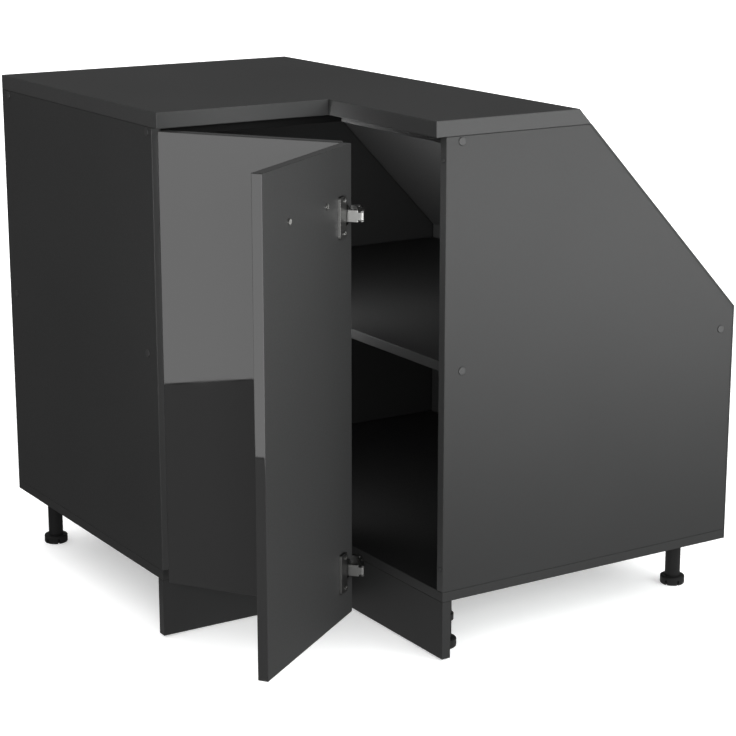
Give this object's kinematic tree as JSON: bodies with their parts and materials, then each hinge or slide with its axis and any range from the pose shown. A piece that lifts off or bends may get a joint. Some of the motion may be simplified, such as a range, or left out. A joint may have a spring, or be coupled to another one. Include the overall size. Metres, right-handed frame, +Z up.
{
  "type": "corner kitchen cabinet",
  "caption": "L-shaped corner base cabinet with a sloped rear side, a folding pair of door leaves on concealed hinges, an inner shelf, plinths and levelling legs.",
  "frame": {"origin": "bottom centre of the whole object's box with the doors open as at rest, on the floor", "axes": "+Z up, +Y towards the straight rear wall, +X towards the wall with the roof slope"},
  "size_m": [0.972, 1.0298, 0.85],
  "materials": {
    "melamine": "matt anthracite melamine",
    "melamine_top": "matt anthracite melamine",
    "fibreboard": "thin dark fibreboard",
    "gloss_board": "high gloss anthracite outside, matt inside",
    "black_plastic": "moulded black plastic",
    "grey_plastic": "satin grey plastic",
    "zinc_steel": "zinc plated",
    "nickel_steel": "nickel plated",
    "beech": "raw beech",
    "clear_rubber": "clear soft pad",
    "brushed_handle": "brushed steel"
  },
  "bodies": {
    "carcass": {"worktop": "melamine_top", "bottom_board": "melamine", "left_side_panel": "melamine", "right_side_panel": "melamine", "rear_wall_panel": "melamine", "rear_back_sheet": "fibreboard", "slope_sheet": "fibreboard", "shelf": "melamine", "front_stretcher_left": "melamine", "front_stretcher_right": "melamine", "rear_stretcher": "melamine", "plinth_left": "melamine", "plinth_right": "melamine", "plinth_clips": "black_plastic", "leg_mounting_plates": "black_plastic", "leg_tubes": "black_plastic", "leg_screws": "zinc_steel", "confirmat_screws": "zinc_steel", "screw_caps": "grey_plastic", "wood_dowels": "beech", "sheet_nails": "zinc_steel", "door_bumpers": "clear_rubber", "side_hinge_plates": "nickel_steel", "side_hinge_arms": "nickel_steel", "side_hinge_plate_screws": "zinc_steel"},
    "door_1": {"door_leaf_left": "gloss_board", "side_hinge_cups": "nickel_steel", "side_hinge_cup_pins": "zinc_steel", "side_hinge_cup_screws": "zinc_steel", "fold_hinge_plates": "nickel_steel", "fold_hinge_arms": "nickel_steel", "fold_hinge_plate_screws": "zinc_steel"},
    "door_2": {"door_leaf_right": "gloss_board", "fold_hinge_cups": "nickel_steel", "fold_hinge_cup_pins": "zinc_steel", "fold_hinge_cup_screws": "zinc_steel", "handle_bar": "brushed_handle", "handle_screws": "zinc_steel"},
    "side_link_a": {"side_hinge_outer_links": "nickel_steel", "side_hinge_pins": "zinc_steel"},
    "side_link_b": {"side_hinge_inner_links": "nickel_steel"},
    "fold_link_a": {"fold_hinge_outer_links": "nickel_steel", "fold_hinge_pins": "zinc_steel"},
    "fold_link_b": {"fold_hinge_inner_links": "nickel_steel"},
    "foot_left_front": {"foot_left_front": "black_plastic"},
    "foot_left_back": {"foot_left_back": "black_plastic"},
    "foot_right_front": {"foot_right_front": "black_plastic"},
    "foot_right_back": {"foot_right_back": "black_plastic"},
    "foot_rear_corner": {"foot_rear_corner": "black_plastic"},
    "foot_inner_corner": {"foot_inner_corner": "black_plastic"}
  },
  "joints": [
    {"name": "door_swing", "type": "hinge", "parent": "carcass", "child": "door_1", "pos_m": [-0.41247, -0.0811, 0.4], "axis": [0, 0, -1], "range_deg": [-55, 45]},
    {"name": "door_fold", "type": "hinge", "parent": "door_1", "child": "door_2", "pos_m": [-0.23896, -0.32889, 0.4], "axis": [0, 0, -1], "range_deg": [0, 48]},
    {"name": "side_outer_link", "type": "hinge", "parent": "carcass", "child": "side_link_a", "pos_m": [-0.38247, -0.0571, 0.4], "axis": [0, 0, -1], "range_deg": [-56, 46]},
    {"name": "side_inner_link", "type": "hinge", "parent": "side_link_a", "child": "side_link_b", "pos_m": [-0.36108, -0.0702, 0.4], "axis": [0, 0, -1], "range_deg": [-46, 56]},
    {"name": "fold_outer_link", "type": "hinge", "parent": "door_1", "child": "fold_link_a", "pos_m": [-0.21848, -0.35117, 0.4], "axis": [0, 0, -1], "range_deg": [-1, 49]},
    {"name": "fold_inner_link", "type": "hinge", "parent": "fold_link_a", "child": "fold_link_b", "pos_m": [-0.23117, -0.37227, 0.4], "axis": [0, 0, -1], "range_deg": [-49, 1]},
    {"name": "level_left_front", "type": "slide", "parent": "carcass", "child": "foot_left_front", "axis": [0, 0, 1], "range_m": [-0.012, 0.009]},
    {"name": "level_left_back", "type": "slide", "parent": "carcass", "child": "foot_left_back", "axis": [0, 0, 1], "range_m": [-0.012, 0.009]},
    {"name": "level_right_front", "type": "slide", "parent": "carcass", "child": "foot_right_front", "axis": [0, 0, 1], "range_m": [-0.012, 0.009]},
    {"name": "level_right_back", "type": "slide", "parent": "carcass", "child": "foot_right_back", "axis": [0, 0, 1], "range_m": [-0.012, 0.009]},
    {"name": "level_rear_corner", "type": "slide", "parent": "carcass", "child": "foot_rear_corner", "axis": [0, 0, 1], "range_m": [-0.012, 0.009]},
    {"name": "level_inner_corner", "type": "slide", "parent": "carcass", "child": "foot_inner_corner", "axis": [0, 0, 1], "range_m": [-0.012, 0.009]}
  ],
  "couplings": [
    {"joint": "side_outer_link", "follows": "door_swing", "ratio": 1},
    {"joint": "side_inner_link", "follows": "door_swing", "ratio": -1},
    {"joint": "fold_outer_link", "follows": "door_fold", "ratio": 1},
    {"joint": "fold_inner_link", "follows": "door_fold", "ratio": -1}
  ]
}
